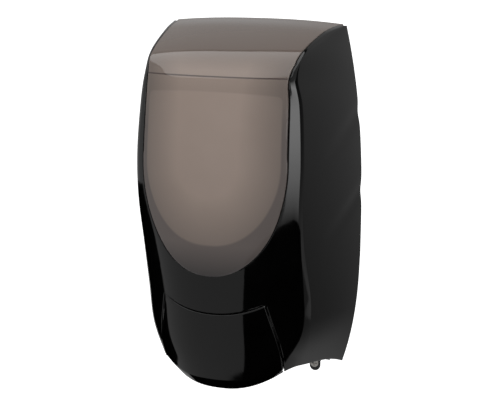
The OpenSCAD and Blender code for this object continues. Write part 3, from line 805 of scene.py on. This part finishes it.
def make_lever_spring():
    """A torsion spring round the lever's rod, with one straight leg."""
    radius = 3.4
    wire = 1
    length = 16
    leg_length = 17
    leg_profile = [
        (0.02, 0), (0.4, 0), (0.5, 0.1), (0.5, leg_length - 0.1), (0.4, leg_length),
        (0.02, leg_length),
    ]
    parts = Parts()
    parts.coil(radius, wire, length, 9, along_x(-length / 2, *PIVOT))
    leg = Matrix.Translation((-length / 2 + wire / 2, PIVOT[0], PIVOT[1] + radius))
    leg = leg @ Matrix.Rotation(math.radians(70), 4, "X")
    parts.turned(leg_profile, leg, 16)
    return parts.made("lever_spring_coil")


pump_spring = make_upright_spring(
    "pump_spring_coil", radius=7.4, wire=1.2, y=PUMP_Y, foot=PUMP_SPRING_FOOT,
    length=PUMP_SPRING_LENGTH, turns=5)
latch_spring = make_upright_spring(
    "latch_spring_coil", radius=2, wire=0.7, y=LATCH_Y, foot=LATCH_SPRING_FOOT,
    length=LATCH_SPRING_LENGTH, turns=6)
lever_spring = make_lever_spring()

# ---- Materials ----

# The middle part of a noise texture's values, which is spread over the whole change.
NOISE_RANGE = (0.3, 0.7)


def rgba_input(mix, name):
    return next(s for s in mix.inputs if s.name == name and s.type == "RGBA")


def rgba_output(mix):
    return next(s for s in mix.outputs if s.type == "RGBA")


class Finish:
    """A node material: one Principled shader and the procedural nodes that feed it."""

    def __init__(self, name, **sockets):
        self.material = bpy.data.materials.new(name)
        self.material.use_nodes = True
        self.tree = self.material.node_tree
        self.shader = self.tree.nodes["Principled BSDF"]
        for key, value in sockets.items():
            self.shader.inputs[key.replace("_", " ")].default_value = value
        self.place = self.tree.nodes.new("ShaderNodeTexCoord").outputs["Object"]

    def noise(self, scale, detail=3.0, stretch=(1, 1, 1)):
        mapping = self.tree.nodes.new("ShaderNodeMapping")
        mapping.inputs["Scale"].default_value = stretch
        self.tree.links.new(self.place, mapping.inputs["Vector"])
        texture = self.tree.nodes.new("ShaderNodeTexNoise")
        texture.inputs["Scale"].default_value = scale
        texture.inputs["Detail"].default_value = detail
        self.tree.links.new(mapping.outputs["Vector"], texture.inputs["Vector"])
        return texture.outputs["Fac"]

    def between(self, value, low, high, source=NOISE_RANGE):
        """Spreads a node's value, from the source range, between two numbers."""
        spread = self.tree.nodes.new("ShaderNodeMapRange")
        spread.inputs["From Min"].default_value = source[0]
        spread.inputs["From Max"].default_value = source[1]
        spread.inputs["To Min"].default_value = low
        spread.inputs["To Max"].default_value = high
        self.tree.links.new(value, spread.inputs["Value"])
        return spread.outputs["Result"]

    def attribute(self, name):
        """A value that the mesh carries at each of its points."""
        node = self.tree.nodes.new("ShaderNodeAttribute")
        node.attribute_name = name
        return node.outputs["Fac"]

    def height(self):
        """Height above the origin, in metres."""
        split = self.tree.nodes.new("ShaderNodeSeparateXYZ")
        self.tree.links.new(self.place, split.inputs["Vector"])
        return split.outputs["Z"]

    def mixed(self, value, low, high, source=NOISE_RANGE):
        """A blend of two colours, each given as numbers or as a node's output."""
        mix = self.tree.nodes.new("ShaderNodeMix")
        mix.data_type = "RGBA"
        for socket, colour in (("A", low), ("B", high)):
            if isinstance(colour, tuple):
                rgba_input(mix, socket).default_value = (*colour, 1)
            else:
                self.tree.links.new(colour, rgba_input(mix, socket))
        self.tree.links.new(self.between(value, 0, 1, source), mix.inputs["Factor"])
        return rgba_output(mix)

    def colour(self, value, low, high):
        """Mixes two colours by a noise value into the base colour."""
        blended = self.mixed(value, low, high)
        self.tree.links.new(blended, self.shader.inputs["Base Color"])

    def roughness(self, value, low, high):
        self.tree.links.new(self.between(value, low, high), self.shader.inputs["Roughness"])

    def bump(self, value, height, strength=1.0):
        bump = self.tree.nodes.new("ShaderNodeBump")
        bump.inputs["Strength"].default_value = strength
        bump.inputs["Distance"].default_value = height
        self.tree.links.new(value, bump.inputs["Height"])
        self.tree.links.new(bump.outputs["Normal"], self.shader.inputs["Normal"])


def gloss_black():
    finish = Finish("gloss_black", IOR=1.5)
    finish.colour(finish.noise(35), (0.0004, 0.0004, 0.0004), (0.0009, 0.0009, 0.0009))
    finish.roughness(finish.noise(220, detail=6, stretch=(1, 1, 0.25)), 0.05, 0.09)
    finish.bump(finish.noise(160, detail=1), 0.00001)
    return finish.material


def smoked_plastic():
    """Smoked plastic whose tint is painted light and shade: a painted view of the refill behind it,
    and painted shade round that.

    It is palest in front of the refill and darkens with painted shade towards the sides; a darker
    border of painted shade lies round that, darkest at the window's foot and painted darker across
    the top, and a thin dark line of painted shade runs where the front folds over into the top.
    """
    finish = Finish("smoked_plastic", IOR=1.47, Transmission_Weight=0.12)
    cloud = finish.noise(22, detail=4)
    side = finish.attribute("side_inset")
    sight = finish.attribute("sight_inset")
    fold = finish.attribute("fold_drop")
    height = finish.height()
    middle = finish.mixed(cloud, (0.262, 0.207, 0.176), (0.284, 0.227, 0.195))
    # Painted shade: the painted view of the refill darkens towards the window's sides.
    refill = finish.mixed(side, (0.166, 0.135, 0.118), middle, (0, 26))
    # Painted shade: above the refill the tint also darkens towards the sides.
    front = finish.mixed(side, (0.140, 0.114, 0.100), (0.237, 0.188, 0.160), (0, 26))
    # Painted shade: the border darkens towards the window's foot.
    foot = finish.mixed(height, (0.034, 0.031, 0.031), (0.105, 0.088, 0.082), (-0.042, -0.018))
    border = finish.mixed(height, foot, front, (0.060, 0.084))
    # Painted shade: the top is painted darker, against the stronger light from above.
    border = finish.mixed(height, border, (0.130, 0.103, 0.089), (0.100, 0.112))
    tint = finish.mixed(sight, border, refill, (-0.6, 0.6))
    # Painted shade: a thin dark line where the front folds over into the top.
    line = finish.mixed(fold, tint, (0.060, 0.045, 0.041), (-0.75, -0.35))
    tint = finish.mixed(fold, line, tint, (0.35, 0.75))
    finish.tree.links.new(tint, finish.shader.inputs["Base Color"])
    finish.roughness(finish.noise(90, detail=5), 0.05, 0.09)
    finish.bump(finish.noise(140, detail=1), 0.00001)
    return finish.material


def black_plastic():
    finish = Finish("black_plastic")
    finish.colour(finish.noise(60), (0.018, 0.018, 0.019), (0.03, 0.03, 0.031))
    finish.roughness(finish.noise(400, detail=5), 0.42, 0.58)
    finish.bump(finish.noise(1800, detail=3), 0.00008, 0.6)
    return finish.material


def milky_plastic():
    finish = Finish("milky_plastic", Subsurface_Weight=0.35, Subsurface_Scale=0.004)
    finish.shader.inputs["Subsurface Radius"].default_value = (1.0, 0.9, 0.75)
    finish.colour(finish.noise(40, detail=4), (0.66, 0.65, 0.60), (0.72, 0.71, 0.67))
    finish.roughness(finish.noise(120, detail=4), 0.36, 0.48)
    finish.bump(finish.noise(120, detail=3), 0.00006)
    return finish.material


def grey_plastic():
    finish = Finish("grey_plastic")
    finish.colour(finish.noise(70), (0.28, 0.29, 0.30), (0.33, 0.34, 0.35))
    finish.roughness(finish.noise(300, detail=4), 0.36, 0.48)
    finish.bump(finish.noise(1500, detail=3), 0.00006, 0.6)
    return finish.material


def steel():
    finish = Finish("steel", Metallic=1.0)
    drawn = finish.noise(900, detail=4, stretch=(0.08, 1, 1))
    finish.colour(drawn, (0.48, 0.46, 0.43), (0.62, 0.60, 0.57))
    finish.roughness(drawn, 0.26, 0.40)
    finish.bump(drawn, 0.00003, 0.5)
    return finish.material


def rubber():
    finish = Finish("rubber")
    finish.colour(finish.noise(90, detail=5), (0.022, 0.022, 0.022), (0.04, 0.04, 0.039))
    finish.roughness(finish.noise(500), 0.7, 0.85)
    finish.bump(finish.noise(2200, detail=3), 0.0001, 0.7)
    return finish.material


def silicone():
    finish = Finish("silicone", Subsurface_Weight=0.4, Subsurface_Scale=0.002)
    finish.colour(finish.noise(80), (0.60, 0.58, 0.54), (0.70, 0.68, 0.64))
    finish.roughness(finish.noise(400), 0.45, 0.58)
    finish.bump(finish.noise(1200), 0.00004)
    return finish.material


FINISHES = {
    "gloss_black": gloss_black(),
    "smoked_plastic": smoked_plastic(),
    "black_plastic": black_plastic(),
    "milky_plastic": milky_plastic(),
    "grey_plastic": grey_plastic(),
    "steel": steel(),
    "rubber": rubber(),
    "silicone": silicone(),
}


replaced = set()


def install(piece, body, slot, *nodes):
    """Gives a piece its finish and its body, in place of the CAD nodes that it stands for."""
    piece.data.materials.append(FINISHES[slot])
    if nodes:
        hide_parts(*nodes)
        replaced.update(nodes)
    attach(piece, body)


def shorten(spring):
    """Gives an upright spring a mesh of its own."""
    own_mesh(spring)


install(cover_shell, "cover", "gloss_black", "cover_shell")
install(cover_fittings, "cover", "gloss_black")
install(cover_window, "cover", "smoked_plastic", "cover_window")
install(push_lever, "lever", "gloss_black", "push_lever")
install(lever_fittings, "lever", "gloss_black")
install(bottle, "chassis", "milky_plastic", "refill_bottle")
install(pump_spring, "chassis", "steel", "pump_spring")
install(latch_spring, "chassis", "steel", "latch_spring")
install(lever_spring, "cover", "steel", "lever_spring")
shorten(pump_spring)
shorten(latch_spring)


def finish_cad_nodes():
    """Finishes and softly rounded edges for the CAD nodes that stay."""
    slots = {part["node"]: part["material_slot"] for part in frame["record"]["subparts"]}
    for name, piece in frame["nodes"].items():
        if name in replaced:
            continue
        for slot in piece.material_slots:
            slot.material = FINISHES[slots[name]]
        join = piece.modifiers.new("join_split_edges", "WELD")
        join.merge_threshold = 0.00001
        soften = piece.modifiers.new("soft_edges", "BEVEL")
        soften.width = 0.00025
        soften.segments = 2
        soften.limit_method = "ANGLE"
        soften.angle_limit = math.radians(50)
        soften.harden_normals = True


finish_cad_nodes()

# ---- Studio ----

FLOOR_Z = -1.0


def emitter(name, heights, strengths):
    """Light that changes evenly from the lower height to the upper one."""
    material = bpy.data.materials.new(name)
    material.use_nodes = True
    tree = material.node_tree
    tree.nodes.clear()
    place = tree.nodes.new("ShaderNodeTexCoord")
    split = tree.nodes.new("ShaderNodeSeparateXYZ")
    spread = tree.nodes.new("ShaderNodeMapRange")
    shader = tree.nodes.new("ShaderNodeEmission")
    output = tree.nodes.new("ShaderNodeOutputMaterial")
    spread.inputs["From Min"].default_value, spread.inputs["From Max"].default_value = heights
    spread.inputs["To Min"].default_value, spread.inputs["To Max"].default_value = strengths
    tree.links.new(place.outputs["Object"], split.inputs["Vector"])
    tree.links.new(split.outputs["Z"], spread.inputs["Value"])
    tree.links.new(spread.outputs["Result"], shader.inputs["Strength"])
    tree.links.new(shader.outputs["Emission"], output.inputs["Surface"])
    return material


def cyclorama():
    """A pale floor, well below, that curves up all round into a plain white surround."""
    radius = 4.0
    curve = 1.0
    dome_z = 2.0
    axis = 0.001
    profile = [(axis, FLOOR_Z), (radius - curve, FLOOR_Z)]
    profile += [(radius - curve + curve * math.sin(a), FLOOR_Z + curve * (1 - math.cos(a)))
                for a in np.linspace(0, math.pi / 2, 12)[1:]]
    profile += [(radius * math.cos(a), dome_z + radius * math.sin(a))
                for a in np.linspace(0, math.pi / 2, 16)[:-1]]
    profile += [(axis, dome_z + radius)]
    turns = np.linspace(0, 2 * math.pi, 65)
    vertices = [(r * math.cos(t) / MM, r * math.sin(t) / MM, z / MM)
                for t in turns for r, z in profile]
    floor = new_object("studio_surround", vertices, grid_faces(len(turns), len(profile)))
    finish = Finish("studio_paper", Roughness=0.9)
    finish.colour(finish.noise(6), (0.90, 0.90, 0.90), (0.93, 0.93, 0.93))
    finish.shader.inputs["Emission Color"].default_value = (1, 1, 1, 1)
    finish.shader.inputs["Emission Strength"].default_value = 0.9
    floor.data.materials.append(finish.material)
    floor.visible_diffuse = False
    floor.visible_glossy = False
    floor.visible_shadow = False


def only_in_reflections(piece, material):
    piece.data.materials.append(material)
    piece.visible_camera = False
    piece.visible_diffuse = False
    piece.visible_transmission = False
    piece.visible_shadow = False


def panel(name, azimuths, heights, strengths, distance=1.2):
    """A curved upright panel round the dispenser, seen only in reflections.

    Azimuths are in degrees from the front and heights in metres, each from one end to the other.
    """
    angles = np.radians(np.linspace(*azimuths, 13))
    levels = np.linspace(*heights, 5)
    vertices = [
        (distance * math.sin(a) / MM, -distance * math.cos(a) / MM, z / MM)
        for a in angles for z in levels
    ]
    piece = new_object(name, vertices, grid_faces(len(angles), len(levels)))
    only_in_reflections(piece, emitter(name, heights, strengths))


def level_card(name, half_x, half_y, centre_y, height, strength, corner=0.3):
    """A level card with round corners, seen only in reflections."""
    outline = rounded_outline(half_x, half_y, corner, centre_y, 9)
    vertices = [(x / MM, y / MM, height / MM) for x, y in outline]
    piece = new_object(name, vertices, [tuple(range(len(vertices)))])
    only_in_reflections(piece, emitter(name, (0, 1), (strength, strength)))


def area_light(name, azimuth, elevation, distance, size, watts):
    data = bpy.data.lights.new(name, "AREA")
    data.shape = "RECTANGLE"
    data.size, data.size_y = size
    data.energy = watts
    light = bpy.data.objects.new(name, data)
    light.visible_glossy = False
    light.visible_camera = False
    aim(light, math.radians(azimuth), math.radians(elevation), distance)


def light_the_studio():
    """Soft lights, and the cards that the gloss black and the window reflect."""
    world = bpy.data.worlds.new("studio")
    world.use_nodes = True
    background = world.node_tree.nodes["Background"]
    background.inputs["Color"].default_value = (1, 1, 1, 1)
    background.inputs["Strength"].default_value = 0.4
    bpy.context.scene.world = world
    area_light("key", -20, 35, 2.0, (1.6, 1.2), 24)
    area_light("fill", 60, 15, 2.2, (1.2, 1.4), 10)
    area_light("overhead", 0, 86, 1.1, (2.1, 1.35), 7)
    panel("right_dark_card", (17, 100), (-1.7, -0.56), (0, 0))
    panel("edge_card", (84, 118), (-0.56, 0.4), (0.32, 0.02))
    panel("left_dark_card", (-135, -88), (-1.0, -0.26), (0, 0))
    panel("side_card", (118, 175), (-0.62, 0.5), (0.14, 0.36))
    panel("low_side_card", (100, 175), (-1.3, -0.62), (0.45, 0.14))
    panel("strip", (47, 84), (-0.56, 0.2), (0.4, 4.0))
    panel("strip_top", (47, 84), (0.2, 0.5), (4.0, 0.4))
    level_card("floor_card", 1.21, 1.21, 0, -1.5, 0, corner=1.2)
    level_card("overhead_surround", 1.7, 0.94, -0.26, 1.11, 0)
    level_card("overhead_card", 1.6, 0.84, -0.26, 1.1, 1.8)


cyclorama()
light_the_studio()
bpy.context.scene.view_settings.view_transform = "Standard"
